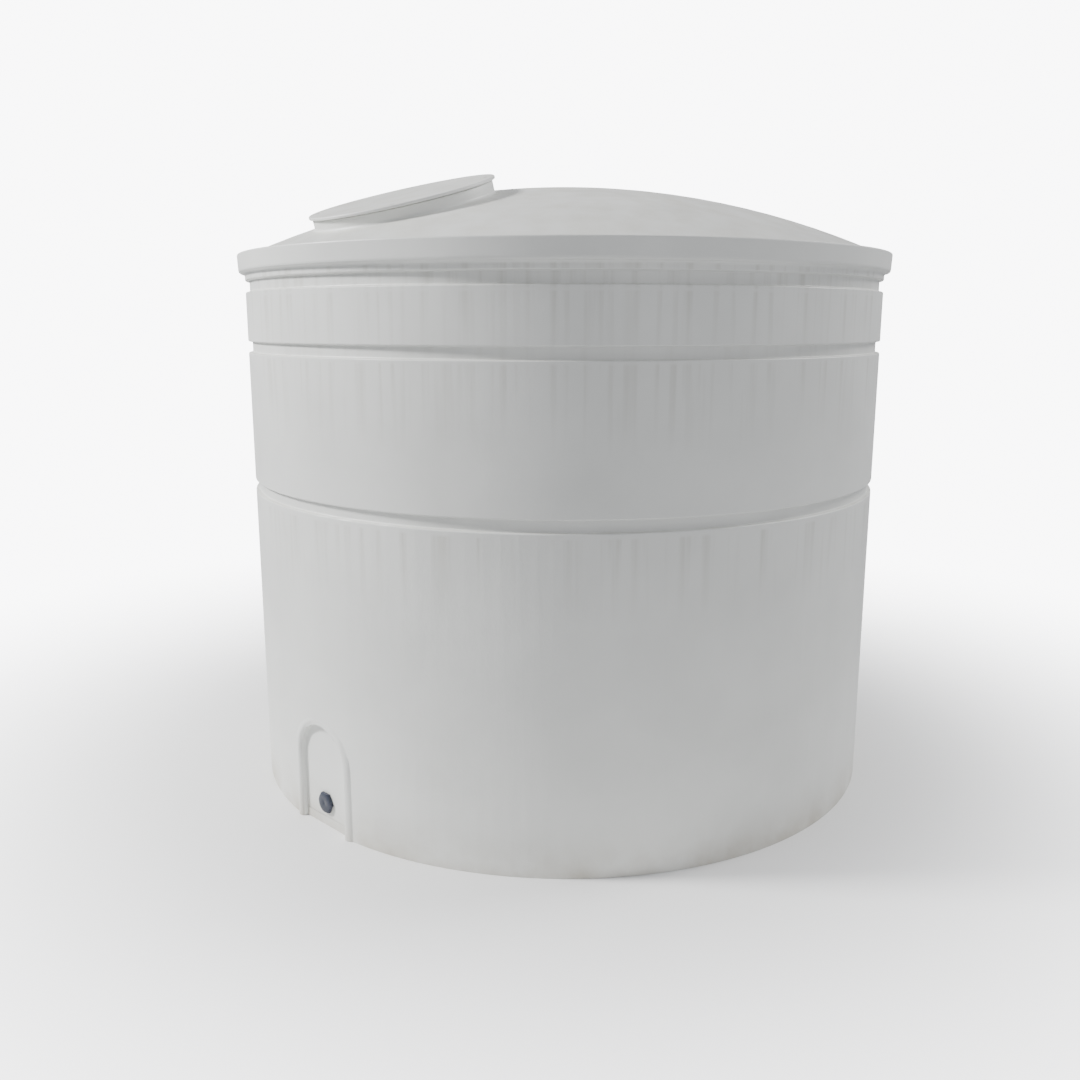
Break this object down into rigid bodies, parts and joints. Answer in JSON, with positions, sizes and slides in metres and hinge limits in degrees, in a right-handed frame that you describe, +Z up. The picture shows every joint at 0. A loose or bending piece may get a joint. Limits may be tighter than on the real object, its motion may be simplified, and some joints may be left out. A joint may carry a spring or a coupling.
{
  "type": "livestock water storage tank",
  "caption": "Round closed water storage tank for livestock, with a domed roof, lift-off manhole lid, plugged outlet in a recess, screened overflow and a float-operated filling valve.",
  "frame": {"origin": "centre of the underside, on the ground", "axes": "+Z up; -Y to the front, where the outlet recess and the manhole are; the overflow is at +Y"},
  "size_m": [1.918, 1.9688, 1.746],
  "materials": {
    "tank_polyethylene": "rotationally moulded polyethylene, satin with a faint orange-peel",
    "lid_polyethylene": "rotationally moulded polyethylene, satin",
    "plug_polypropylene": "injection-moulded polypropylene, semi-matt",
    "fitting_pvc": "injection-moulded rigid PVC, semi-matt",
    "float_polyethylene": "blow-moulded polyethylene, soft gloss",
    "brass": "cast and turned brass, dulled",
    "stainless": "stainless steel, plain drawn finish",
    "epdm": "moulded EPDM rubber, matt"
  },
  "bodies": {
    "tank": {"tank_wall": "tank_polyethylene", "tank_floor": "tank_polyethylene", "tank_eave": "tank_polyethylene", "tank_dome": "tank_polyethylene", "manhole_collar": "tank_polyethylene", "collar_inserts": "brass", "outlet_insert": "brass", "overflow_pipe": "fitting_pvc", "overflow_outer_seal": "epdm", "overflow_inner_seal": "epdm", "overflow_nut": "fitting_pvc", "overflow_screen": "stainless", "overflow_screen_ring": "fitting_pvc", "valve_body": "brass", "valve_seat": "fitting_pvc", "valve_outer_nut": "brass", "valve_inner_nut": "brass", "valve_outer_seal": "epdm", "valve_inner_seal": "epdm", "arm_pivot_pin": "stainless"},
    "lid": {"manhole_lid": "lid_polyethylene", "lid_ring": "lid_polyethylene", "lid_gasket": "epdm", "lid_screws": "stainless", "lid_screw_washers": "stainless"},
    "plug_ring": {"outlet_plug_seal": "epdm"},
    "plug": {"outlet_plug": "plug_polypropylene"},
    "float_arm": {"valve_arm": "brass", "float_ball": "float_polyethylene", "float_boss": "brass", "float_lock_nut": "brass"},
    "piston": {"valve_piston": "brass", "piston_washer": "epdm"}
  },
  "joints": [
    {"name": "lid_lift", "type": "slide", "parent": "tank", "child": "lid", "axis": [0, -0.2847, 0.9586], "range_m": [0, 0.4]},
    {"name": "plug_advance", "type": "slide", "parent": "tank", "child": "plug_ring", "axis": [0, -1, 0], "range_m": [0, 0.021]},
    {"name": "plug_unscrew", "type": "hinge", "parent": "plug_ring", "child": "plug", "pos_m": [0, -0.923, 0.069], "axis": [0, -1, 0], "range_deg": [0, 3240]},
    {"name": "float_swing", "type": "hinge", "parent": "tank", "child": "float_arm", "pos_m": [-0.724, -0.418, 1.37363], "axis": [0.5, -0.866, 0], "range_deg": [0, 52]},
    {"name": "piston_travel", "type": "slide", "parent": "tank", "child": "piston", "axis": [-0.866, -0.5, 0], "range_m": [0, 0.01317]}
  ],
  "couplings": [
    {"joint": "plug_advance", "follows": "plug_unscrew", "m_per_rad": 0.0003675},
    {"joint": "piston_travel", "follows": "float_swing", "m_per_rad": 0.01449}
  ]
}
